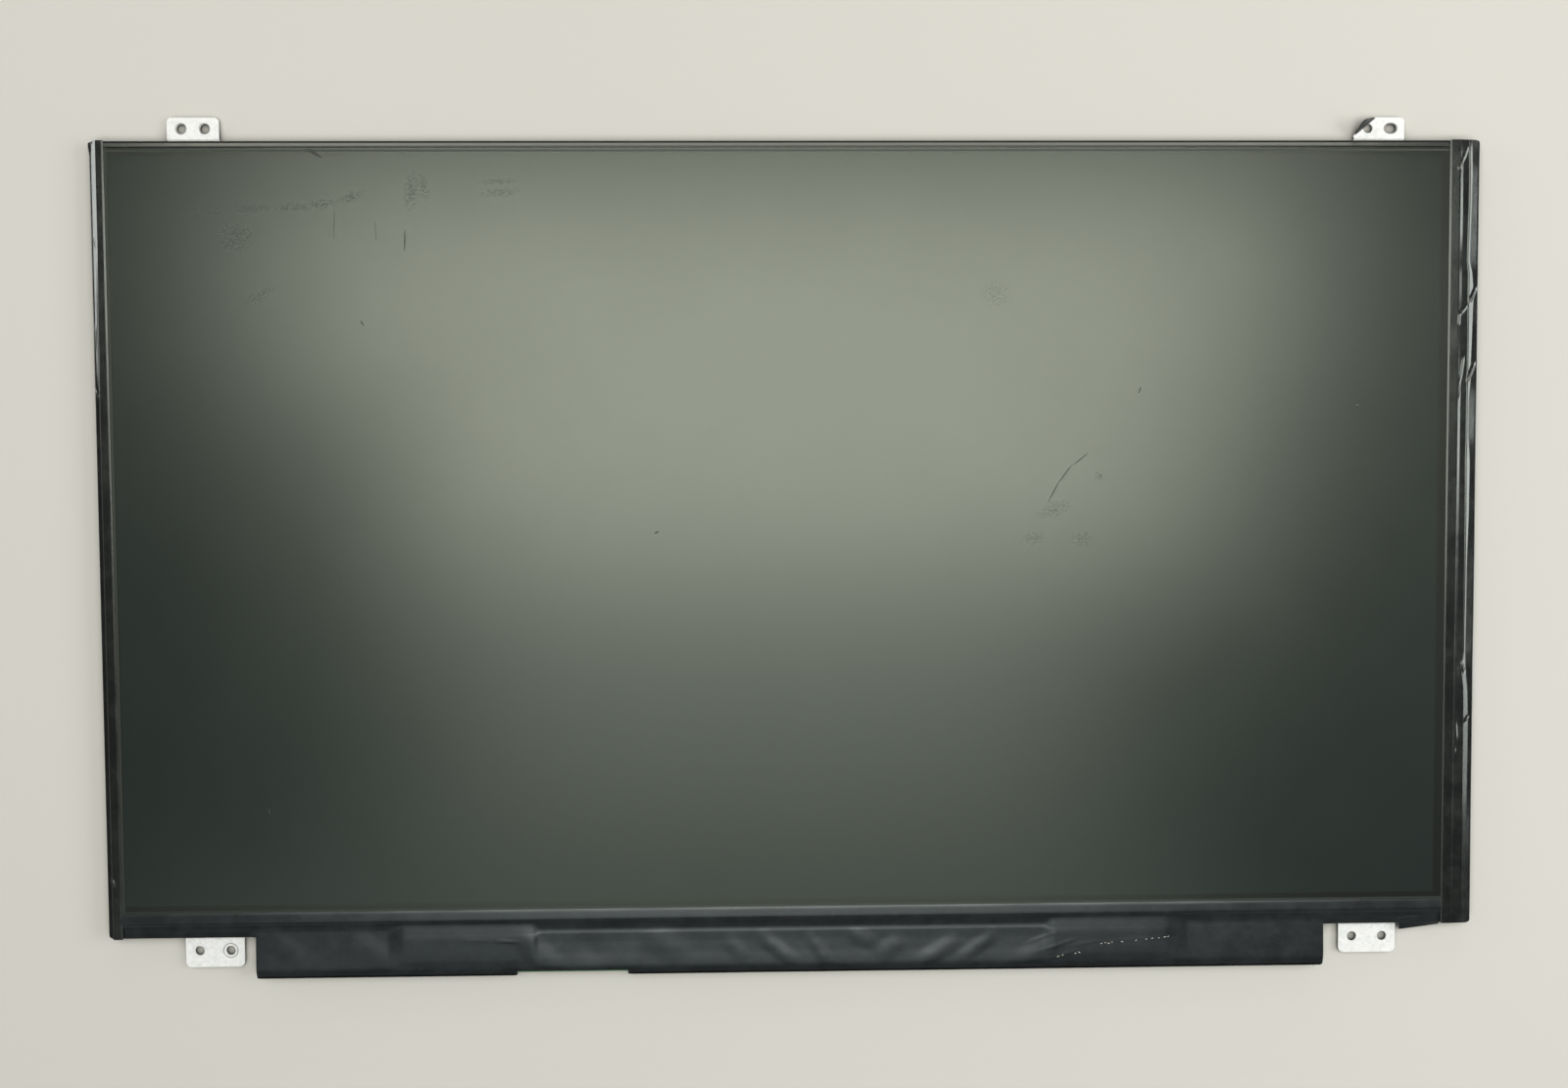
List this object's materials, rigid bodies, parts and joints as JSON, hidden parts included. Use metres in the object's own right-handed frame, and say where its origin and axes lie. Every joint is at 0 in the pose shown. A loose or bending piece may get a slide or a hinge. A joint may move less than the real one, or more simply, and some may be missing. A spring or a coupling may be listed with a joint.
{
  "type": "laptop screen panel",
  "caption": "Slim laptop screen panel with matte glass front, black film edges, a taped control board along the bottom and four steel screw tabs, one bent.",
  "frame": {"origin": "under the middle of the whole outline, on the plane of the four bracket feet that the panel lies on", "axes": "+X along the long side to the right of the picture, +Y towards the top of the picture, +Z out of the screen"},
  "size_m": [0.3594, 0.2238, 0.0037],
  "materials": {
    "anti_glare_film": "matte anti-glare sheet over a dark panel, smudged",
    "dark_film": "thin grey film",
    "panel_glass": "thin flat glass",
    "black_tape": "glossy black film tape, creased",
    "black_moulding": "fine matte moulding",
    "galvanised_steel": "zinc coated, mottled",
    "aluminium_sheet": "satin rolled sheet",
    "white_film": "matte white film",
    "clear_acrylic": "clear polished sheet",
    "amber_film": "amber flexible film with copper tracks",
    "chip_epoxy": "fine black moulding",
    "green_board": "green solder mask",
    "tan_ceramic": "tan ceramic with tinned ends",
    "white_package": "white moulding with a pale yellow window",
    "tinned_steel": "tin plated sheet",
    "gilt_contact": "gold flash over copper alloy"
  },
  "bodies": {
    "root": {"front_polariser": "anti_glare_film", "rear_polariser": "dark_film", "transistor_glass": "panel_glass", "filter_glass": "panel_glass", "edge_tape_left": "black_tape", "edge_tape_right": "black_tape", "edge_tape_top": "black_tape", "board_cover_film": "black_tape", "rim_tape": "black_tape", "mould_frame": "black_moulding", "signal_socket_housing": "black_moulding", "light_bar_socket": "black_moulding", "top_left_bracket": "galvanised_steel", "top_right_bracket": "galvanised_steel", "bottom_left_bracket": "galvanised_steel", "bottom_right_bracket": "galvanised_steel", "bracket_rivets": "galvanised_steel", "back_plate": "aluminium_sheet", "reflector_sheet": "white_film", "lower_diffuser": "white_film", "upper_diffuser": "white_film", "light_guide": "clear_acrylic", "lower_prism_sheet": "clear_acrylic", "upper_prism_sheet": "clear_acrylic", "light_bar_flex": "amber_film", "source_film_left": "amber_film", "source_film_right": "amber_film", "source_driver_left": "chip_epoxy", "source_driver_right": "chip_epoxy", "gate_drivers": "chip_epoxy", "timing_controller": "chip_epoxy", "backlight_driver": "chip_epoxy", "power_coil": "chip_epoxy", "control_board": "green_board", "board_capacitors": "tan_ceramic", "light_bar_diodes": "white_package", "signal_socket_shell": "tinned_steel", "signal_socket_contacts": "gilt_contact"}
  },
  "joints": []
}
